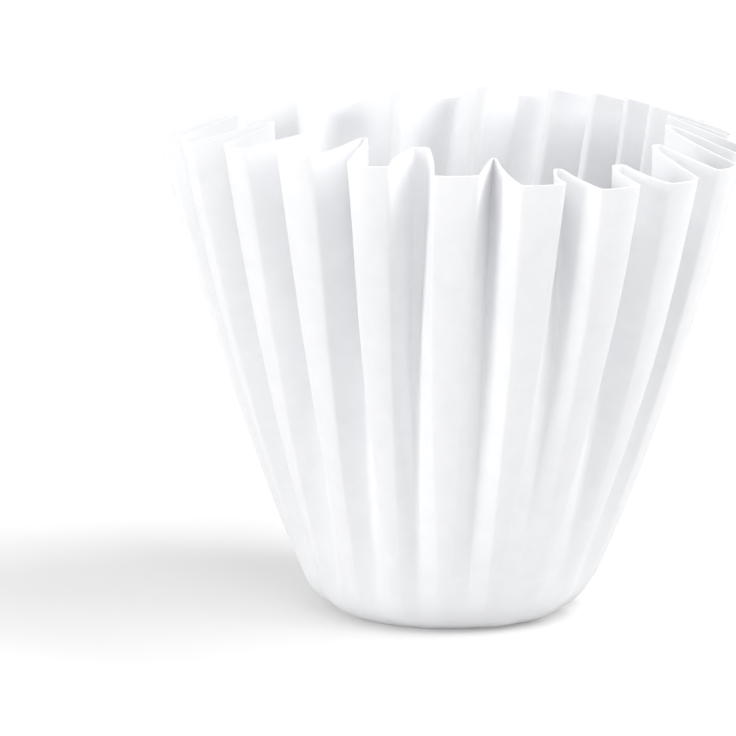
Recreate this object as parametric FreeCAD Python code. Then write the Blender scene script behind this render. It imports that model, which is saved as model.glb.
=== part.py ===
"""Paper coffee filter: one disc of filter paper, pressed into a flat foot and a pleated wall.

The disc keeps its size when it is folded. A fold line is as long on the finished wall as it is on
the flat disc, and the zigzag of the pleats at any level is as long as the circle that was drawn
there on the flat disc. So the depth of the pleats and the height of the rim are worked out from the
disc, and aren't sizes of their own.

Each pleat has four fold lines: the two edges of the narrow strip at the bottom of a groove, and the
two edges of the rounded outer panel that follows it. Flat side panels join them. Each line bends up
from the flat foot, and then curls slightly steeper all the way to the rim.

The press makes a round foot with even pleats. The rim of soft paper springs to an oval that lies
across the foot at an angle, and there the pleats stand closer together on the right than on the left.

Frame: millimetres, +Z up, the origin at the centre of the foot on the table. Angles go round from
the front, which is -Y, towards +X.
"""

import FreeCAD
import Part
import math
import os
from FreeCAD import Vector

PART_NAME = "filter_paper"

# Driving sizes: name, value and what it measures. Lengths are millimetres and angles are degrees.
SIZES = [
    ("blank_diameter", 185.0, "flat disc of paper that the filter is folded from"),
    ("paper_thickness", 0.2, "filter paper, pressed"),
    ("foot_diameter", 30.0, "flat part of the bottom, which stands on the table"),
    ("bend_length", 9.8, "paper of the bend from the foot up into the wall"),
    ("wall_curl", 7.5, "how much steeper the wall is at the rim than just above the bend"),
    ("rim_length", 95.5, "across the outer panels at the rim, the long way of the oval"),
    ("rim_breadth", 75.5, "across the outer panels at the rim, the short way of the oval"),
    ("rim_turn", 44.0, "angle of the oval's long way, round from the front"),
    ("rim_setback", 2.5, "how far the middle of the oval lies behind the middle of the foot"),
    ("pleat_count", 20.0, "pleats round the wall"),
    ("panel_width", 6.6, "paper of an outer panel, at the rim"),
    ("panel_turn", 50.0, "angle through which an outer panel is rounded at the rim"),
    ("strip_width", 2.0, "strip of paper at the bottom of a groove, at the rim"),
    ("first_groove", 6.5, "angle of the groove that is just right of the front, at the foot"),
    ("front_push", 7.5, "how far the rim of the front pleats is pushed to the right"),
    ("back_push", 16.5, "how far the rim of the back pleats is pushed to the right"),
    ("back_turn", 150.0, "angle at which the back pleats are pushed the furthest"),
    ("twist_angle", 4.0, "how far the whole rim is turned to the left against the foot"),
]

# Flat facets that make up a round form: along the bend, up the wall, and across an outer panel.
BEND_FACETS = 5
WALL_FACETS = 4
PANEL_FACETS = 4

# Halvings that find the slope of the wall.
SLOPE_STEPS = 50

SEW_TOLERANCE = 0.001


def make_sheet(doc):
    """A spreadsheet that holds the driving sizes, each under its own name."""
    sheet = doc.addObject("Spreadsheet::Sheet", "Sizes")
    for row, (name, value, meaning) in enumerate(SIZES, start=1):
        sheet.set(f"A{row}", name)
        sheet.set(f"B{row}", str(value))
        sheet.set(f"C{row}", meaning)
        sheet.setAlias(f"B{row}", name)
    doc.recompute()
    return sheet


class FoldedDisc:
    """Where the middle of the paper lies once the flat disc is folded."""

    def __init__(self, sheet):
        def size(name):
            return float(sheet.get(name))

        self.blank_radius = size("blank_diameter") / 2
        self.thickness = size("paper_thickness")
        self.foot_radius = size("foot_diameter") / 2
        self.bend_length = size("bend_length")
        self.wall_curl = math.radians(size("wall_curl"))
        self.half_length = size("rim_length") / 2
        self.half_breadth = size("rim_breadth") / 2
        self.rim_turn = math.radians(size("rim_turn"))
        self.rim_setback = size("rim_setback")
        self.count = round(size("pleat_count"))
        self.panel_width = size("panel_width")
        self.panel_turn = math.radians(size("panel_turn"))
        self.strip_width = size("strip_width")
        self.first_groove = math.radians(size("first_groove"))
        self.front_push = math.radians(size("front_push"))
        self.back_push = math.radians(size("back_push"))
        self.back_turn = math.radians(size("back_turn"))
        self.twist_angle = math.radians(size("twist_angle"))
        self.wall_length = self.blank_radius - self.foot_radius
        self.straight_length = self.wall_length - self.bend_length
        self.levels = self.facet_levels()

    def facet_levels(self):
        """Distances from the foot, along the paper, at which the facets meet."""
        bend = [self.bend_length * row / BEND_FACETS for row in range(BEND_FACETS)]
        step = self.straight_length / WALL_FACETS
        wall = [self.bend_length + step * row for row in range(WALL_FACETS + 1)]
        return bend + wall

    def share(self, along):
        """Radius on the flat disc at this distance from the foot, as a share of the disc's."""
        return (self.foot_radius + along) / self.blank_radius

    def groove_angle(self, number, along):
        """Angle of a groove: evenly spaced at the foot, and pushed round more and more above."""
        even = self.first_groove + 2 * math.pi * number / self.count
        near_front = math.cos(even / 2) ** 12
        near_back = math.cos((even - self.back_turn) / 2) ** 6
        pushed = self.front_push * near_front - self.back_push * near_back - self.twist_angle
        return even + pushed * along / self.wall_length

    def panel_angle(self, number, along):
        """Angle of the middle of the outer panel that follows a groove."""
        return (self.groove_angle(number, along) + self.groove_angle(number + 1, along)) / 2

    def rim_radius(self, angle):
        """Radius of the outer panels at the rim, an oval that is turned and set back."""
        turned = angle - self.rim_turn
        along_oval = math.cos(turned) / self.half_length
        across_oval = math.sin(turned) / self.half_breadth
        return 1 / math.hypot(along_oval, across_oval) - self.rim_setback * math.cos(angle)

    def profile(self, slope, along):
        """Radius and height at this distance from the foot, where the bend ends at this slope."""
        bend_radius = self.bend_length / slope
        turn = min(along, self.bend_length) / bend_radius
        radius = self.foot_radius + bend_radius * math.sin(turn)
        height = bend_radius * (1 - math.cos(turn))
        if along > self.bend_length:
            curl_radius = self.straight_length / self.wall_curl
            steeper = slope + (along - self.bend_length) / curl_radius
            radius += curl_radius * (math.sin(steeper) - math.sin(slope))
            height += curl_radius * (math.cos(slope) - math.cos(steeper))
        return radius, height

    def wall_slope(self, rim_radius):
        """Slope above the bend with which a panel's paper just reaches the rim's radius."""
        low, high = 0.0, math.pi / 2
        for _ in range(SLOPE_STEPS):
            slope = (low + high) / 2
            radius, _ = self.profile(slope, self.wall_length)
            if radius > rim_radius:
                low = slope
            else:
                high = slope
        return slope

    def panel_fold(self, number, along):
        """Radius and height of the middle of an outer panel, at this distance from the foot."""
        rim = self.rim_radius(self.panel_angle(number, self.wall_length))
        return self.profile(self.wall_slope(rim), along)

    def panel_place(self, number, along, across):
        """Radius and angle of a place on an outer panel, from -1 at its left edge to 1."""
        half_turn = self.panel_turn * self.share(along) / 2
        bow_radius = self.panel_width * self.share(along) / 2 / half_turn
        radius, _ = self.panel_fold(number, along)
        turn = half_turn * across
        outwards = radius - bow_radius * (1 - math.cos(turn))
        sideways = bow_radius * math.sin(turn)
        angle = self.panel_angle(number, along) + math.atan2(sideways, outwards)
        return math.hypot(sideways, outwards), angle

    def side_width(self, along):
        """Width of a side panel: half of what a pleat's outer panel and strip leave."""
        pleat = 2 * math.pi * self.blank_radius / self.count
        return (pleat - self.panel_width - self.strip_width) / 2 * self.share(along)

    def groove_radius(self, number, along):
        """Radius of the strip in a groove, which is as deep as its two side panels reach."""
        groove = self.groove_angle(number, along)
        half_strip = self.strip_width * self.share(along) / 2
        reached = []
        for panel, across in ((number - 1, 1), (number, -1)):
            radius, angle = self.panel_place(panel, along, across)
            sideways = radius * math.sin(abs(angle - groove)) - half_strip
            depth = math.sqrt(max(self.side_width(along) ** 2 - sideways ** 2, 0.0))
            reached.append(radius * math.cos(angle - groove) - depth)
        return sum(reached) / 2

    def groove_fold(self, number):
        """Radius and height of the strip at each level. The length of its fold line is kept."""
        height = 0.0
        fold = [(self.groove_radius(number, 0.0), height)]
        for lower, upper in zip(self.levels, self.levels[1:]):
            radius = self.groove_radius(number, upper)
            outwards = radius - fold[-1][0]
            height += math.sqrt(max((upper - lower) ** 2 - outwards ** 2, 0.0))
            fold.append((radius, height))
        return fold

    def point(self, radius, angle, height):
        """A place on the middle of the paper, whose underside stands on the table."""
        lift = self.thickness / 2
        return Vector(radius * math.sin(angle), -radius * math.cos(angle), height + lift)

    def groove_lines(self, number):
        """The two edges of the strip in a groove, each with a point at every level."""
        left, right = [], []
        for along, (radius, height) in zip(self.levels, self.groove_fold(number)):
            middle = self.groove_angle(number, along)
            half_angle = math.asin(self.strip_width * self.share(along) / 2 / radius)
            left.append(self.point(radius, middle - half_angle, height))
            right.append(self.point(radius, middle + half_angle, height))
        return [left, right]

    def panel_lines(self, number):
        """Lines up an outer panel, from its left edge to its right edge."""
        lines = []
        for facet in range(PANEL_FACETS + 1):
            line = []
            for along in self.levels:
                _, height = self.panel_fold(number, along)
                radius, angle = self.panel_place(number, along, 2 * facet / PANEL_FACETS - 1)
                line.append(self.point(radius, angle, height))
            lines.append(line)
        return lines

    def wall_lines(self):
        """The lines of the whole wall in order."""
        lines = []
        for number in range(self.count):
            lines += self.groove_lines(number) + self.panel_lines(number)
        return lines


def upward(line, row):
    """Direction of a line at a level. At its foot the paper lies flat."""
    if row == 0:
        away = line[1] - line[0]
        return Vector(away.x, away.y, 0).normalize()
    if row == len(line) - 1:
        return (line[-1] - line[-2]).normalize()
    return (line[row + 1] - line[row - 1]).normalize()


def moved_line(lines, index, distance):
    """A line moved off the middle of the paper by a distance, outwards where it is positive."""
    before = lines[index - 1]
    after = lines[(index + 1) % len(lines)]
    moved = []
    for row, here in enumerate(lines[index]):
        along = upward(lines[index], row)
        first = (here - before[row]).cross(along).normalize()
        second = (after[row] - here).cross(along).normalize()
        moved.append(here + (first + second) * (distance / (1 + first.dot(second))))
    return moved


def facet(*corners):
    """A flat face with these corners."""
    return Part.Face(Part.makePolygon([*corners, corners[0]]))


def wall_side(lines):
    """One side of the wall: two flat facets between each pair of lines and pair of levels."""
    faces = []
    for index, right in enumerate(lines):
        left = lines[index - 1]
        for low in range(len(right) - 1):
            high = low + 1
            faces.append(facet(left[low], right[low], right[high]))
            faces.append(facet(left[low], right[high], left[high]))
    return faces


def rim(outside, inside):
    """The cut edge of the paper, all round the rim."""
    faces = []
    for index in range(len(outside)):
        left_out, right_out = outside[index - 1][-1], outside[index][-1]
        left_in, right_in = inside[index - 1][-1], inside[index][-1]
        faces.append(facet(left_out, right_out, right_in))
        faces.append(facet(left_out, right_in, left_in))
    return faces


def folded_paper(disc):
    """The folded disc as one closed solid of even thickness."""
    lines = disc.wall_lines()
    outside = [moved_line(lines, index, disc.thickness / 2) for index in range(len(lines))]
    inside = [moved_line(lines, index, -disc.thickness / 2) for index in range(len(lines))]
    underside = facet(*[line[0] for line in outside])
    floor = facet(*[line[0] for line in inside])
    faces = wall_side(outside) + wall_side(inside) + rim(outside, inside) + [underside, floor]
    shell = Part.Shell(faces)
    shell.sewShape(SEW_TOLERANCE)
    solid = Part.Solid(shell)
    if solid.Volume < 0:
        solid.reverse()
    return solid


def check(doc, part):
    """Stops the script if any object failed, or if the part isn't one good solid."""
    for item in doc.Objects:
        if "Invalid" in item.State or "Error" in item.State:
            raise RuntimeError(f"{item.Name} failed: {item.State}")
    shape = part.Shape
    if shape.isNull() or not shape.isValid() or len(shape.Solids) != 1:
        raise RuntimeError(f"{part.Label} isn't one valid solid")


def main():
    doc = FreeCAD.newDocument("CoffeeFilter")
    disc = FoldedDisc(make_sheet(doc))
    part = doc.addObject("Part::Feature", "FilterPaper")
    part.Label = PART_NAME
    part.Shape = folded_paper(disc)
    part.Placement = FreeCAD.Placement()
    doc.recompute()
    check(doc, part)
    os.makedirs("parts", exist_ok=True)
    part.Shape.exportStep(os.path.join("parts", PART_NAME + ".step"))
    flat = math.pi * disc.blank_radius ** 2 * disc.thickness
    print(f"{PART_NAME}: {part.Shape.Volume:.1f} mm3, and {flat:.1f} mm3 as a flat disc")


main()
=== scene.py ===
# %% [markdown]
# # A pleated paper coffee filter
#
# The filter is one disc of thin white paper. A press gives it a flat foot and a wall of pleats, and
# it then stands by itself. This lesson folds such a disc in Blender, gives it a paper finish, and
# lights it like a product picture on a white table.
#
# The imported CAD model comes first. It says where the real filter is and how large it is, and
# nothing here may move it.

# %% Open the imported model
import math

import bpy
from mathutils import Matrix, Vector, noise


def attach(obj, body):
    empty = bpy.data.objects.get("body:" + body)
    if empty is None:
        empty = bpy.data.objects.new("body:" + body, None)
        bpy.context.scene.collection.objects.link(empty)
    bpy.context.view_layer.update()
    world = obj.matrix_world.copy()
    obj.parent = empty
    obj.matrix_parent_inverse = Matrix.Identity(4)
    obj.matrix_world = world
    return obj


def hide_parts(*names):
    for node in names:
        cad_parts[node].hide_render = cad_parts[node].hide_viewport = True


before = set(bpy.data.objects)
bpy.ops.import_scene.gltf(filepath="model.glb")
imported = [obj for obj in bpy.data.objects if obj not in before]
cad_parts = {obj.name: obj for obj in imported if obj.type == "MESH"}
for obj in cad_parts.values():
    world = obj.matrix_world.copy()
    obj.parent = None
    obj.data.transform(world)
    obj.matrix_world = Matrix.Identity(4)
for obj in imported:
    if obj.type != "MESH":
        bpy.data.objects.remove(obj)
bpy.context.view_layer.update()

# %% [markdown]
# ## The sizes of the paper
#
# Every size here is a size of the flat disc, or of the cup that the press makes from it. The depth
# of the pleats isn't one of them: paper doesn't stretch, so the length of the zigzag at a level is
# the length of the circle that was there on the flat disc. Blender works in metres, so each
# millimetre is written with MM.

# %% Name the sizes
MM = 0.001
BLANK_RADIUS = 92.5 * MM
PAPER_THICKNESS = 0.2 * MM
FOOT_RADIUS = 15.0 * MM
BEND_LENGTH = 9.8 * MM
WALL_CURL = math.radians(7.5)
RIM_HALF_LENGTH = 47.75 * MM
RIM_HALF_BREADTH = 37.75 * MM
RIM_TURN = math.radians(44)
RIM_SETBACK = 2.5 * MM
PLEAT_COUNT = 20
PANEL_WIDTH = 6.6 * MM
PANEL_TURN = math.radians(50)
STRIP_WIDTH = 2.0 * MM
FIRST_GROOVE = math.radians(6.5)
FRONT_PUSH = math.radians(7.5)
BACK_PUSH = math.radians(16.5)
BACK_TURN = math.radians(150)
TWIST_ANGLE = math.radians(4)
# Two places on the flat disc that are nearer to each other than this are the same place.
SAME_PLACE = 0.1 * MM

WALL_LENGTH = BLANK_RADIUS - FOOT_RADIUS
STRAIGHT_LENGTH = WALL_LENGTH - BEND_LENGTH
PLEAT_WIDTH = 2 * math.pi * BLANK_RADIUS / PLEAT_COUNT
SIDE_WIDTH = (PLEAT_WIDTH - PANEL_WIDTH - STRIP_WIDTH) / 2
print("paper in one pleat at the rim:", round(PLEAT_WIDTH / MM, 1), "mm")

# %% [markdown]
# ## Lines on the flat disc
#
# A fold is only as sharp as the mesh lets it be. The disc gets eighteen lines in each pleat: one
# on each fold, others close beside it, which keep the fold crisp once the surface is subdivided,
# and a few in the middle of the panels, so that they can bow. The numbers are distances over the
# paper at the rim, from the middle of a groove.

# %% Place the lines of one pleat
CREASE = 0.45 * MM
# The lines between the creases of a side panel and of an outer panel, as shares of its width.
SIDE_LINES = (0.33, 0.67)
BOW_LINE = 0.28
HALF_STRIP = STRIP_WIDTH / 2
PANEL_START = HALF_STRIP + SIDE_WIDTH
PANEL_END = PANEL_START + PANEL_WIDTH
NEXT_STRIP = PANEL_END + SIDE_WIDTH

first_half = [
    0.0,
    HALF_STRIP,
    HALF_STRIP + CREASE,
    *(HALF_STRIP + SIDE_WIDTH * part for part in SIDE_LINES),
    PANEL_START - CREASE,
    PANEL_START,
    PANEL_START + CREASE,
    PANEL_START + PANEL_WIDTH * BOW_LINE,
]
panel_middle = PANEL_START + PANEL_WIDTH / 2
second_half = [PLEAT_WIDTH - place for place in reversed(first_half[1:])]
LINES = first_half + [panel_middle] + second_half
LINE_COUNT = PLEAT_COUNT * len(LINES)
print("lines:", len(LINES), "in a pleat and", LINE_COUNT, "in all")

# %% [markdown]
# ## Cut the disc
#
# The blank is a circle with a face, as a punch would cut it. Insetting that face again and again
# draws the rings that the wall needs: close together near the rim and in the bend beside the foot,
# where the paper curves, and wide apart between them.

# %% Cut the disc and draw its rings
RIM_HEM = 0.4 * MM
WALL_RINGS = 14
BEND_RINGS = 8
FOOT_RINGS = [0.97, 0.72, 0.38, 0.12, 0.02]

ring_places = [WALL_LENGTH - RIM_HEM]
wall_step = STRAIGHT_LENGTH / WALL_RINGS
ring_places += [BEND_LENGTH + wall_step * step for step in range(WALL_RINGS - 1, -1, -1)]
ring_places += [BEND_LENGTH * step / BEND_RINGS for step in range(BEND_RINGS - 1, -1, -1)]
ring_radii = [FOOT_RADIUS + place for place in ring_places]
ring_radii += [FOOT_RADIUS * part for part in FOOT_RINGS]

bpy.ops.object.select_all(action="DESELECT")
bpy.ops.mesh.primitive_circle_add(vertices=LINE_COUNT, radius=BLANK_RADIUS, fill_type="NGON")
paper = bpy.context.object
paper.name = "pleated_paper"
bpy.ops.object.mode_set(mode="EDIT")
bpy.ops.mesh.select_mode(type="FACE")
bpy.ops.mesh.select_all(action="SELECT")
outer_radius = BLANK_RADIUS
for radius in ring_radii:
    bpy.ops.mesh.inset(thickness=outer_radius - radius, use_even_offset=False)
    outer_radius = radius
bpy.ops.object.mode_set(mode="OBJECT")
print("flat disc:", len(paper.data.vertices), "vertices")

# %% [markdown]
# ## Keep a map of the flat disc
#
# The fibres of paper lie in the flat sheet, and the folds bend them along with it. So the finish
# needs to know where each point was on the flat disc. Now is the time to write that down, as a UV
# map, while the disc is still flat. The fold lines get marks of their own, for the material.

# %% Map the flat disc and mark its folds
FOLD_LINES = [HALF_STRIP, PANEL_START, PANEL_END, NEXT_STRIP]
line_step = 2 * math.pi / LINE_COUNT


def line_number(vertex):
    """Number of the line that a point of the flat disc lies on, counted round from the front."""
    return round(math.atan2(vertex.co.x, -vertex.co.y) / line_step) % LINE_COUNT


flat_map = paper.data.uv_layers.new(name="Flat disc")
for corner in paper.data.loops:
    place = paper.data.vertices[corner.vertex_index].co
    flat_map.data[corner.index].uv = (place.xy / (2 * BLANK_RADIUS)) + Vector((0.5, 0.5))

fold_marks = paper.data.attributes.new("fold", "FLOAT", "POINT")
for vertex in paper.data.vertices:
    across = LINES[line_number(vertex) % len(LINES)]
    on_fold = any(abs(across - fold) < SAME_PLACE for fold in FOLD_LINES)
    in_wall = vertex.co.length > FOOT_RADIUS
    fold_marks.data[vertex.index].value = float(on_fold and in_wall)
marked = sum(mark.value > 0 for mark in fold_marks.data)
print("points on folds:", marked)

# %% [markdown]
# ## Where each point of the paper goes
#
# Folding is a rule that takes a point of the flat disc to its place in the cup. A point has a
# pleat, a distance across that pleat, and a distance along the paper from the foot. The rule is
# built up from small questions: how wide is the paper here, at which angle is this groove, how far
# out is this panel, and how deep can the groove then be.

# %% Make the pleats a little uneven
WAVER_LENGTH = 45 * MM
# How far apart in the noise two kinds of unevenness and two pleats are, so that they don't match.
KIND_STEP = 11.7
PLEAT_STEP = 3.9
# The noise itself mostly stays between -0.5 and 0.5.
NOISE_GAIN = 2
SPREAD_KIND, PANEL_KIND, ROUND_KIND, DEPTH_KIND, LEFT_BOW_KIND, RIGHT_BOW_KIND = range(1, 7)


def share(along):
    """Radius on the flat disc, as a share of the whole disc's."""
    return (FOOT_RADIUS + along) / BLANK_RADIUS


def waver(kind, number, along):
    """About -1 to 1, different for each kind and pleat, and fading to nothing at the foot."""
    pleat = number % PLEAT_COUNT
    place = Vector((kind * KIND_STEP, pleat * PLEAT_STEP, along / WAVER_LENGTH))
    return noise.noise(place) * NOISE_GAIN * along / WALL_LENGTH


rim_waver = waver(DEPTH_KIND, 0, WALL_LENGTH)
print("depth of groove 0 wavers at the rim by", round(rim_waver, 2), "of the most")

# %% [markdown]
# ## How the pleats are spread
#
# At the foot the press spaces the pleats evenly. Higher up they follow the hands that opened the
# filter: at the rim they stand closer together on the right, and wider apart at the back and on
# the left. Each pleat could be turned by hand until it fits. One smooth rule for all twenty is
# shorter, and it keeps them from crossing.

# %% Ask how the grooves and panels are spread
GROOVE_WAVER = math.radians(1.6)
# The higher the power, the narrower the part of the wall that is pushed.
FRONT_POWER = 12
BACK_POWER = 6


def groove_angle(number, along):
    """Evenly spaced at the foot. Above it the front and back are pushed, and the wall twists."""
    even = FIRST_GROOVE + 2 * math.pi * number / PLEAT_COUNT
    near_front = math.cos(even / 2) ** FRONT_POWER
    near_back = math.cos((even - BACK_TURN) / 2) ** BACK_POWER
    pushed = FRONT_PUSH * near_front - BACK_PUSH * near_back - TWIST_ANGLE
    waver_angle = GROOVE_WAVER * waver(SPREAD_KIND, number, along)
    return even + pushed * along / WALL_LENGTH + waver_angle


def panel_angle(number, along):
    """A panel stands halfway between its two grooves."""
    return (groove_angle(number, along) + groove_angle(number + 1, along)) / 2


rim_angles = [groove_angle(number, WALL_LENGTH) for number in range(PLEAT_COUNT)]
print("grooves at the rim:", [round(math.degrees(angle)) for angle in rim_angles], "degrees")

# %% [markdown]
# ## How far the wall leans out
#
# The rim is pulled into an oval that lies askew over the foot. From the foot to the rim the paper
# is equally long all round, so where the oval is wide, the wall leans out further and its rim ends
# lower. No formula gives the slope for a radius, so the code halves the range of slopes again and
# again, until the paper just reaches the oval.

# %% Ask how far out and how high a panel is
PANEL_WAVER = 0.5 * MM
ROUND_WAVER = 0.45
HALVINGS = 40


def rim_radius(angle):
    """The rim is an oval that lies across the foot at an angle, and is set back a little."""
    turned = angle - RIM_TURN
    oval = 1 / math.hypot(math.cos(turned) / RIM_HALF_LENGTH, math.sin(turned) / RIM_HALF_BREADTH)
    return oval - RIM_SETBACK * math.cos(angle)


def profile(slope, along):
    """Radius and height along the paper: round the bend to this slope, then slowly steeper."""
    bend_radius = BEND_LENGTH / slope
    turn = min(along, BEND_LENGTH) / bend_radius
    radius = FOOT_RADIUS + bend_radius * math.sin(turn)
    height = bend_radius * (1 - math.cos(turn))
    if along > BEND_LENGTH:
        curl_radius = STRAIGHT_LENGTH / WALL_CURL
        steeper = slope + (along - BEND_LENGTH) / curl_radius
        radius += curl_radius * (math.sin(steeper) - math.sin(slope))
        height += curl_radius * (math.cos(slope) - math.cos(steeper))
    return radius, height


def wall_slope(radius):
    """Slope above the bend with which the paper just reaches this radius at the rim."""
    low, high = 0.0, math.pi / 2
    for _ in range(HALVINGS):
        slope = (low + high) / 2
        if profile(slope, WALL_LENGTH)[0] > radius:
            low = slope
        else:
            high = slope
    return slope


slopes = [wall_slope(rim_radius(panel_angle(number, WALL_LENGTH))) for number in range(PLEAT_COUNT)]
gentlest, steepest = (round(math.degrees(slope)) for slope in (min(slopes), max(slopes)))
print("wall slopes:", gentlest, "to", steepest, "degrees")


def panel_fold(number, along):
    """Radius and height of the middle of a panel."""
    radius, height = profile(slopes[number % PLEAT_COUNT], along)
    return radius + PANEL_WAVER * waver(PANEL_KIND, number, along), height


def panel_place(number, along, across):
    """Radius and angle of a place on a rounded panel, from -1 at its left edge to 1."""
    rounder = 1 + ROUND_WAVER * waver(ROUND_KIND, number, along)
    half_turn = PANEL_TURN * share(along) / 2 * rounder
    bow_radius = PANEL_WIDTH * share(along) / 2 / half_turn
    radius, _ = panel_fold(number, along)
    turn = half_turn * across
    outwards = radius - bow_radius * (1 - math.cos(turn))
    sideways = bow_radius * math.sin(turn)
    angle = panel_angle(number, along) + math.atan2(sideways, outwards)
    return math.hypot(sideways, outwards), angle


# %% [markdown]
# ## How deep the grooves are
#
# Two neighbouring outer panels and the side panels between them fix how deep a groove is, as the
# three sides of a triangle fix its height. The paper along a groove is as long as everywhere else
# too, and that gives its height. Handling has pressed some grooves near the front outwards, so
# those are a few millimetres less deep.

# %% Ask how deep and how high a groove is
DEPTH_WAVER = 0.6 * MM
# Millimetres by which some grooves are less deep. Groove 0 is the first one right of the front.
SHALLOW_AT_RIM = {0: 2.0, 1: 2.8, 2: 2.4, 3: 1.2, 17: 0.8, 19: 0.4}
SHALLOW_HALFWAY = {0: 1.6, 1: 2.6, 2: 2.2, 3: 1.2, 17: 1.0, 18: 1.0, 19: 1.4}


def groove_radius(number, along):
    """A groove is as deep as the paper of its two side panels reaches, or a little less."""
    groove = groove_angle(number, along)
    side = SIDE_WIDTH * share(along)
    reached = []
    for panel, across in ((number - 1, 1), (number, -1)):
        radius, angle = panel_place(panel, along, across)
        if panel < 0:
            angle += 2 * math.pi * round((groove - angle) / (2 * math.pi))
        sideways = radius * math.sin(abs(angle - groove)) - HALF_STRIP * share(along)
        depth = math.sqrt(max(side**2 - sideways**2, 0.0))
        reached.append(radius * math.cos(angle - groove) - depth)
    up = along / WALL_LENGTH
    near_halfway = 4 * up * (1 - up)
    shallower = SHALLOW_AT_RIM.get(number % PLEAT_COUNT, 0.0) * up
    shallower += SHALLOW_HALFWAY.get(number % PLEAT_COUNT, 0.0) * near_halfway
    return sum(reached) / 2 + shallower * MM + DEPTH_WAVER * waver(DEPTH_KIND, number, along)


def groove_fold(number, places):
    """Radius and height of a groove at each place along it. Its own length is kept."""
    height = 0.0
    fold = {}
    before, radius = 0.0, groove_radius(number, 0.0)
    for along in sorted(places):
        following = groove_radius(number, along)
        height += math.sqrt(max((along - before) ** 2 - (following - radius) ** 2, 0.0))
        before, radius = along, following
        fold[along] = (radius, height)
    return fold


places = [WALL_LENGTH, *ring_places]
grooves = [groove_fold(number, places) for number in range(PLEAT_COUNT)]
rim_heights = [round(groove[WALL_LENGTH][1] / MM, 1) for groove in grooves]
print("grooves end at heights of", min(rim_heights), "to", max(rim_heights), "mm")

# %% [markdown]
# ## Join the panels
#
# The strip and the rounded panel know their places already, and a side panel simply joins them.
# Its middle bows by less than a millimetre, because no hand leaves soft paper quite flat. A few
# strips are pinched shut, as the one just right of the front is in the picture.

# %% Place the strips and the side panels
SIDE_BOW = 0.9 * MM
# A pinched strip is folded inwards along its own middle: 1 all but closes it, and 0 is flat.
PINCHED_GROOVES = {0: 1.0, 1: 0.6, 18: 0.5}
PINCH_NARROWS = 0.7


def place_on_cup(radius, angle, height):
    """The point this far out, this far round from the front and this high over the table."""
    rightwards, backwards = radius * math.sin(angle), -radius * math.cos(angle)
    return Vector((rightwards, backwards, height + PAPER_THICKNESS / 2))


def groove_edge(number, along, across):
    """A place on the strip at the bottom of a groove, from -1 at its left edge to 1."""
    radius, height = grooves[number % PLEAT_COUNT][along]
    half_angle = math.asin(HALF_STRIP * share(along) / radius)
    pinch = PINCHED_GROOVES.get(number % PLEAT_COUNT, 0.0) * along / WALL_LENGTH
    inwards = radius - pinch * HALF_STRIP * (1 - abs(across))
    sideways = across * half_angle * (1 - PINCH_NARROWS * pinch)
    return place_on_cup(inwards, groove_angle(number, along) + sideways, height)


def panel_point(number, along, across):
    """A place on the outer panel of a pleat, from -1 at its left edge to 1."""
    _, height = panel_fold(number, along)
    radius, angle = panel_place(number, along, across)
    return place_on_cup(radius, angle, height)


def side_point(start, end, part, bow):
    """A place on a side panel, which bows a little round the upright."""
    middle = start.lerp(end, part)
    sideways = (end - start).cross(Vector((0, 0, 1))).normalized()
    return middle + sideways * bow * math.sin(math.pi * part)


def folded(number, across, along):
    """The place in the cup of a point that is this far across its pleat and along the paper."""
    if across <= HALF_STRIP:
        return groove_edge(number, along, across / HALF_STRIP)
    if across < PANEL_START:
        start, end = groove_edge(number, along, 1), panel_point(number, along, -1)
        bow = SIDE_BOW * waver(LEFT_BOW_KIND, number, along)
        return side_point(start, end, (across - HALF_STRIP) / SIDE_WIDTH, bow)
    if across <= PANEL_END:
        return panel_point(number, along, (across - PANEL_START) / PANEL_WIDTH * 2 - 1)
    start, end = panel_point(number, along, 1), groove_edge(number + 1, along, -1)
    bow = SIDE_BOW * waver(RIGHT_BOW_KIND, number, along)
    return side_point(start, end, (across - PANEL_END) / SIDE_WIDTH, bow)


# %% [markdown]
# ## Let the folds relax
#
# A press leaves a fold sharp, but damp air and handling open it out again. In the picture the near
# folds are crisp, the far ones have gone round, and in the bend above the foot the pleats have
# almost melted away. So a point is moved to the mean place of the paper on both sides of it. The
# further that mean reaches, the rounder the fold becomes.

# %% Find the mean place beside each fold
CRISP_REACH = 0.3 * MM
SOFT_REACH = 4.2 * MM
FOOT_REACH = 3.6 * MM
FOOT_POWER = 3
MEAN_WEIGHTS = (1, 4, 6, 4, 1)


def fold_reach(number, along):
    """How far a fold has opened out: little at the front, and more at the back and the foot."""
    up = along / WALL_LENGTH
    behind = (1 - math.cos(groove_angle(number, WALL_LENGTH))) / 2
    at_rim = CRISP_REACH + (SOFT_REACH - CRISP_REACH) * behind
    return FOOT_REACH * (1 - up) ** FOOT_POWER + at_rim * up


def relaxed(number, across, along):
    """The mean of five places, two of them on each side. The outer two are one reach away."""
    total = Vector()
    for step, weight in enumerate(MEAN_WEIGHTS, start=-2):
        beside = across + step * fold_reach(number, along) / 2 / share(along)
        neighbour = math.floor(beside / PLEAT_WIDTH)
        total += folded(number + neighbour, beside - neighbour * PLEAT_WIDTH, along) * weight
    return total / sum(MEAN_WEIGHTS)


front_reach, back_reach = (fold_reach(number, WALL_LENGTH) for number in (0, PLEAT_COUNT // 2))
print("rim folds open by", round(front_reach / MM, 1), "to", round(back_reach / MM, 1), "mm")

# %% [markdown]
# ## Fold the disc
#
# Every point of the flat disc can now be sent to its place. The points inside the foot ring stay
# flat on the table. They only follow the ring, which is slightly smaller than before.

# %% Fold the disc
def nearest_place(along):
    """The ring that this distance along the paper belongs to."""
    return min(places, key=lambda place: abs(place - along))


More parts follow.
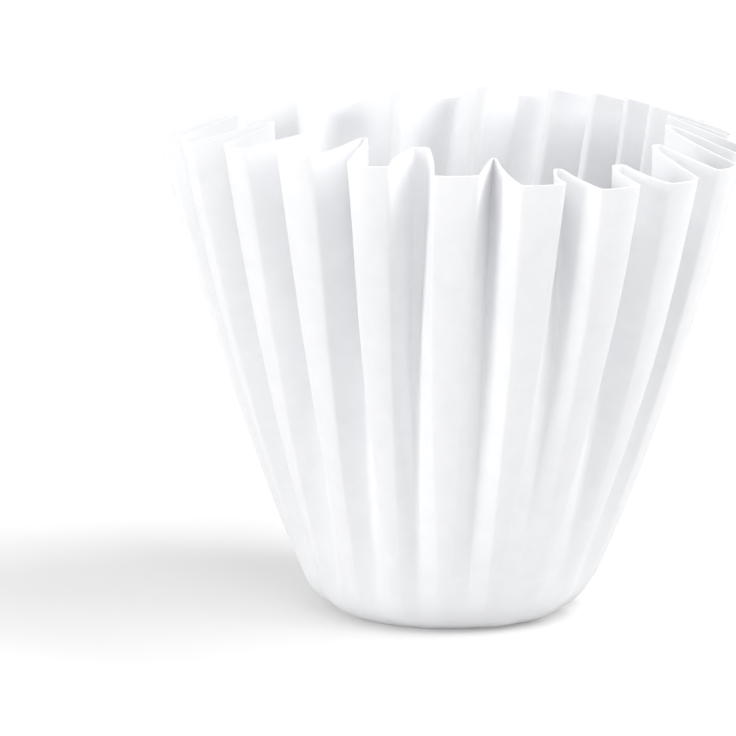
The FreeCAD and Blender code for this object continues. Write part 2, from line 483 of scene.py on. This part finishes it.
for vertex in paper.data.vertices:
    flat_radius = math.hypot(vertex.co.x, vertex.co.y)
    line = line_number(vertex)
    number, across = line // len(LINES), LINES[line % len(LINES)]
    along = nearest_place(flat_radius - FOOT_RADIUS)
    if flat_radius > FOOT_RADIUS - SAME_PLACE:
        vertex.co = relaxed(number, across, along)
    else:
        edge = relaxed(number, across, 0.0)
        inwards = flat_radius / FOOT_RADIUS
        vertex.co = Vector((edge.x * inwards, edge.y * inwards, edge.z))
highest = max(vertex.co.z for vertex in paper.data.vertices)
print("folded cup:", round(highest / MM, 1), "mm high")

# %% [markdown]
# ## Give the paper its thickness
#
# One round of subdivision rounds each fold between its two close lines. The paper then gets its
# 0.2 mm, half to each side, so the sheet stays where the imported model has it. Wherever the
# surface turns by more than forty degrees, as it does at the cut edge, the shading stays sharp.

# %% Round the folds and give the paper its thickness
SHARP_ANGLE = math.radians(40)

bpy.ops.object.select_all(action="DESELECT")
paper.select_set(True)
bpy.context.view_layer.objects.active = paper
bpy.ops.object.mode_set(mode="EDIT")
bpy.ops.mesh.select_all(action="SELECT")
bpy.ops.mesh.normals_make_consistent(inside=False)
bpy.ops.object.mode_set(mode="OBJECT")

smooth = paper.modifiers.new("Smooth folds", "SUBSURF")
smooth.levels = smooth.render_levels = 1
smooth.use_limit_surface = False
smooth.boundary_smooth = "PRESERVE_CORNERS"
bpy.ops.object.modifier_apply(modifier=smooth.name)
wall = paper.modifiers.new("Paper thickness", "SOLIDIFY")
wall.thickness = PAPER_THICKNESS
wall.offset = 0
bpy.ops.object.modifier_apply(modifier=wall.name)
bpy.ops.object.shade_smooth_by_angle(angle=SHARP_ANGLE)
print("paper:", len(paper.data.polygons), "faces")

# %% [markdown]
# ## What filter paper looks like
#
# Filter paper is unglazed. Its colour is a slightly cool white, cloudy where the pulp settled
# thicker or thinner, with fine fibres in all directions and a grain that a finger can feel. It
# lets some light through. All of this is laid out on the flat map, in millimetres of paper, so
# that it runs over the folds as real fibres do.

# %% Draw the fibres, the clouds and the grain of the pulp
CLOUDS_PER_MM = 0.22
GRAINS_PER_MM = 3.2
STRANDS_PER_MM = 2.4
STRAND_STRETCH = (0.18, 1.6, 1)
STRAND_TURNS = (15, 72, 128)

pulp = bpy.data.node_groups.new("Paper pulp", "ShaderNodeTree")
pulp.interface.new_socket("Place", in_out="INPUT", socket_type="NodeSocketVector")
pulp.interface.new_socket("Clouds", in_out="OUTPUT", socket_type="NodeSocketFloat")
pulp.interface.new_socket("Fibres", in_out="OUTPUT", socket_type="NodeSocketFloat")
pulp.interface.new_socket("Grain", in_out="OUTPUT", socket_type="NodeSocketFloat")
pulp_in = pulp.nodes.new("NodeGroupInput")
pulp_out = pulp.nodes.new("NodeGroupOutput")
flat_paper = pulp_in.outputs["Place"]


def pulp_noise(place, scale, detail, distortion):
    """A noise over the flat paper, with this many spots to a millimetre."""
    noise_node = pulp.nodes.new("ShaderNodeTexNoise")
    noise_node.inputs["Scale"].default_value = scale
    noise_node.inputs["Detail"].default_value = detail
    noise_node.inputs["Distortion"].default_value = distortion
    pulp.links.new(place, noise_node.inputs["Vector"])
    return noise_node.outputs["Fac"]


def stretched_place(turn):
    """The flat paper turned by an angle and stretched, so that spots on it become fibres."""
    mapping = pulp.nodes.new("ShaderNodeMapping")
    mapping.inputs["Rotation"].default_value = (0, 0, math.radians(turn))
    mapping.inputs["Scale"].default_value = STRAND_STRETCH
    pulp.links.new(flat_paper, mapping.inputs["Vector"])
    return mapping.outputs["Vector"]


cloud_spots = pulp_noise(flat_paper, CLOUDS_PER_MM, detail=5, distortion=0.4)
grain_spots = pulp_noise(flat_paper, GRAINS_PER_MM, detail=4, distortion=0)
pulp.links.new(cloud_spots, pulp_out.inputs["Clouds"])
pulp.links.new(grain_spots, pulp_out.inputs["Grain"])
brightest = None
for turn in STRAND_TURNS:
    strands = pulp_noise(stretched_place(turn), STRANDS_PER_MM, detail=2, distortion=0.6)
    if brightest is None:
        brightest = strands
        continue
    brighter = pulp.nodes.new("ShaderNodeMath")
    brighter.operation = "MAXIMUM"
    pulp.links.new(brightest, brighter.inputs[0])
    pulp.links.new(strands, brighter.inputs[1])
    brightest = brighter.outputs["Value"]
pulp.links.new(brightest, pulp_out.inputs["Fibres"])
print("pulp:", len(pulp.nodes), "nodes")

# %% [markdown]
# ## Finish the paper
#
# A sheet in one plain white would look like plastic. Here the pulp mixes two whites that are close
# together, the folds get a third, and the fibres and the grain rise from the surface as two bumps,
# one on top of the other. Some light enters the sheet and leaves it a millimetre away. The shader
# does that without a second surface.

# %% Finish the paper
PAPER_WHITE = (0.93, 0.935, 0.95, 1)
CLOUDY_WHITE = (0.9, 0.905, 0.925, 1)
FOLD_WHITE = (0.95, 0.955, 0.965, 1)
ROUGHNESS = 0.92
SHINE = 0.2
LIGHT_THROUGH = 0.4
LIGHT_DEPTH = 1.0 * MM
# Over each of these ranges of a pulp value, or of a fold mark, one white turns into another.
CLOUD_RANGE = (0.35, 0.65)
FIBRE_RANGE = (0.6, 0.75)
WORN_RANGE = (0.3, 1.0)
MOST_FIBRE = 0.6
MOST_WORN = 0.4
FIBRE_HEIGHT = 0.05 * MM
GRAIN_HEIGHT = 0.03 * MM
BUMP_STRENGTH = 0.5

matt_paper = bpy.data.materials.new("White filter paper")
matt_paper.use_nodes = True
nodes, links = matt_paper.node_tree.nodes, matt_paper.node_tree.links
surface = nodes["Principled BSDF"]
surface.inputs["Roughness"].default_value = ROUGHNESS
surface.inputs["Specular IOR Level"].default_value = SHINE
surface.inputs["Subsurface Weight"].default_value = LIGHT_THROUGH
surface.inputs["Subsurface Radius"].default_value = (1, 1, 1)
surface.inputs["Subsurface Scale"].default_value = LIGHT_DEPTH

flat_place = nodes.new("ShaderNodeUVMap")
flat_place.uv_map = "Flat disc"
in_millimetres = nodes.new("ShaderNodeVectorMath")
in_millimetres.operation = "SCALE"
in_millimetres.inputs["Scale"].default_value = 2 * BLANK_RADIUS / MM
links.new(flat_place.outputs["UV"], in_millimetres.inputs[0])
pulp_node = nodes.new("ShaderNodeGroup")
pulp_node.node_tree = pulp
links.new(in_millimetres.outputs["Vector"], pulp_node.inputs["Place"])


def mixed_white(factor, first, second):
    """A mix of two whites, each a colour or another node's colour."""
    mix = nodes.new("ShaderNodeMix")
    mix.data_type = "RGBA"
    links.new(factor, mix.inputs["Factor"])
    for socket, colour in ((mix.inputs["A"], first), (mix.inputs["B"], second)):
        if isinstance(colour, tuple):
            socket.default_value = colour
        else:
            links.new(colour, socket)
    return mix.outputs["Result"]


def stretched(value, from_range, most):
    """A value stretched from its own range to the range from 0 to the most there may be."""
    stretch = nodes.new("ShaderNodeMapRange")
    stretch.inputs["From Min"].default_value = from_range[0]
    stretch.inputs["From Max"].default_value = from_range[1]
    stretch.inputs["To Max"].default_value = most
    links.new(value, stretch.inputs["Value"])
    return stretch.outputs["Result"]


clouds = stretched(pulp_node.outputs["Clouds"], CLOUD_RANGE, most=1)
fibres = stretched(pulp_node.outputs["Fibres"], FIBRE_RANGE, MOST_FIBRE)
fold_mark = nodes.new("ShaderNodeAttribute")
fold_mark.attribute_name = "fold"
cloudy = mixed_white(clouds, CLOUDY_WHITE, PAPER_WHITE)
with_fibres = mixed_white(fibres, cloudy, CLOUDY_WHITE)
worn_fold = stretched(fold_mark.outputs["Fac"], WORN_RANGE, MOST_WORN)
links.new(mixed_white(worn_fold, with_fibres, FOLD_WHITE), surface.inputs["Base Color"])

felt = None
for kind, height in (("Fibres", FIBRE_HEIGHT), ("Grain", GRAIN_HEIGHT)):
    bump = nodes.new("ShaderNodeBump")
    bump.inputs["Strength"].default_value = BUMP_STRENGTH
    bump.inputs["Distance"].default_value = height
    links.new(pulp_node.outputs[kind], bump.inputs["Height"])
    if felt:
        links.new(felt, bump.inputs["Normal"])
    felt = bump.outputs["Normal"]
links.new(felt, surface.inputs["Normal"])

paper.data.materials.append(matt_paper)
print("paper finish:", len(nodes), "nodes")

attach(paper, "root")
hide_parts("filter_paper")

# %% [markdown]
# ## A white table without a horizon
#
# A product picture stands on white that runs on to the edge of the picture. The table is matt and
# pale, and catches the soft shadow. To the camera alone it glows a little, just enough for the
# bare table to reach white, and more further away, where the lamps reach less. That glow lights
# nothing else.

# %% Lay the table
TABLE_SIZE = 6
TABLE_PALE = 0.66
NEAR_GLOW = 0.28
FAR_GLOW = 0.65
# Metres behind the cup at which the glow is strongest.
FAR_AWAY = 1.2

bpy.ops.object.select_all(action="DESELECT")
bpy.ops.mesh.primitive_plane_add(size=TABLE_SIZE, location=(0, 0, 0))
table = bpy.context.object
table.name = "white_table"
table_finish = bpy.data.materials.new("White table")
table_finish.use_nodes = True
table_nodes = table_finish.node_tree.nodes
table_surface = table_nodes["Principled BSDF"]
table_surface.inputs["Base Color"].default_value = (TABLE_PALE, TABLE_PALE, TABLE_PALE, 1)
table_surface.inputs["Roughness"].default_value = 1
table_surface.inputs["Specular IOR Level"].default_value = 0
table_surface.inputs["Emission Color"].default_value = (1, 1, 1, 1)
seen_by = table_nodes.new("ShaderNodeLightPath")
table_place = table_nodes.new("ShaderNodeTexCoord")
table_axes = table_nodes.new("ShaderNodeSeparateXYZ")
glow_level = table_nodes.new("ShaderNodeMapRange")
glow_level.inputs["From Max"].default_value = FAR_AWAY
glow_level.inputs["To Min"].default_value = NEAR_GLOW
glow_level.inputs["To Max"].default_value = FAR_GLOW
glow = table_nodes.new("ShaderNodeMath")
glow.operation = "MULTIPLY"
table_links = table_finish.node_tree.links
table_links.new(table_place.outputs["Object"], table_axes.inputs["Vector"])
table_links.new(table_axes.outputs["Y"], glow_level.inputs["Value"])
table_links.new(seen_by.outputs["Is Camera Ray"], glow.inputs[0])
table_links.new(glow_level.outputs["Result"], glow.inputs[1])
table_links.new(glow.outputs["Value"], table_surface.inputs["Emission Strength"])
table.data.materials.append(table_finish)
print("table:", TABLE_SIZE, "m wide, its glow", NEAR_GLOW, "to", FAR_GLOW)

# %% [markdown]
# ## Stand where the photographer stood
#
# The ellipse of the rim says how far the camera looks down, about twelve degrees. The rim at the
# back is smaller than the one in front, which says how near the camera is. The cup isn't in the
# middle of the picture, so the lens is shifted by that much instead of turned.

# %% Set up the camera
IMAGE_PIXELS = 736
CAMERA_DISTANCE = 0.65
CAMERA_ELEVATION = math.radians(11.95)
PIXELS_PER_METRE = 6755
AXIS_PIXEL_X = 448.6
AXIS_PIXEL_Y = 366.0
AXIS_HEIGHT = 35.8 * MM
SENSOR_WIDTH = 36

bpy.ops.object.camera_add()
camera = bpy.context.object
bpy.context.scene.camera = camera
camera.data.sensor_width = SENSOR_WIDTH
focal_pixels = PIXELS_PER_METRE * CAMERA_DISTANCE
camera.data.lens = focal_pixels / IMAGE_PIXELS * SENSOR_WIDTH
to_camera = Vector((0, -math.cos(CAMERA_ELEVATION), math.sin(CAMERA_ELEVATION)))
camera.location = Vector((0, 0, AXIS_HEIGHT)) + to_camera * CAMERA_DISTANCE
camera.rotation_mode = "QUATERNION"
camera.rotation_quaternion = (-to_camera).to_track_quat("-Z", "Y")
camera.data.shift_x = (IMAGE_PIXELS / 2 - AXIS_PIXEL_X) / IMAGE_PIXELS
camera.data.shift_y = (AXIS_PIXEL_Y - IMAGE_PIXELS / 2) / IMAGE_PIXELS
print("lens:", round(camera.data.lens, 1), "mm")

# %% [markdown]
# ## Soft light on white paper
#
# Only light and shade show the form of white paper on white. A large lamp stands low at the left,
# where it reaches into the grooves and picks out the left side of each pleat. A wide lamp at the
# right lays the long soft shadow over the table, and a high one deepens it beside the foot. A
# small lamp high above the front reaches over the rim and lights the inside of the far wall. An
# even white room fills the rest.

# %% Set up the light
LAMP_AIM = 35 * MM
LAMP_DISTANCE = 1.3
ROOM_LIGHT = 0.55
SEEN_ROOM = 1


def soft_box(name, azimuth, elevation, size, watts):
    """A square lamp that faces the cup, from this angle round it and above the table."""
    bpy.ops.object.light_add(type="AREA")
    lamp = bpy.context.object
    lamp.name = name
    lamp.data.size = size
    lamp.data.energy = watts
    turn, rise = math.radians(azimuth), math.radians(elevation)
    level = math.cos(rise)
    away = Vector((math.sin(turn) * level, -math.cos(turn) * level, math.sin(rise)))
    lamp.location = away * LAMP_DISTANCE + Vector((0, 0, LAMP_AIM))
    lamp.rotation_mode = "QUATERNION"
    lamp.rotation_quaternion = (-away).to_track_quat("-Z", "Y")
    print(name, "at", azimuth, "degrees round,", elevation, "degrees up:", watts, "W")


soft_box("Window light", azimuth=-55, elevation=14, size=0.55, watts=6.9)
soft_box("Side light", azimuth=72, elevation=36, size=0.8, watts=8.2)
soft_box("High light", azimuth=104, elevation=60, size=0.45, watts=5.6)
soft_box("Front light", azimuth=10, elevation=62, size=0.5, watts=2.4)

world = bpy.context.scene.world or bpy.data.worlds.new("Studio")
bpy.context.scene.world = world
world.use_nodes = True
room = world.node_tree.nodes["Background"]
room.inputs["Color"].default_value = (1, 1, 1, 1)
room_seen_by = world.node_tree.nodes.new("ShaderNodeLightPath")
room_level = world.node_tree.nodes.new("ShaderNodeMapRange")
room_level.inputs["To Min"].default_value = ROOM_LIGHT
room_level.inputs["To Max"].default_value = SEEN_ROOM
world.node_tree.links.new(room_seen_by.outputs["Is Camera Ray"], room_level.inputs["Value"])
world.node_tree.links.new(room_level.outputs["Result"], room.inputs["Strength"])

bpy.context.scene.view_settings.view_transform = "Standard"
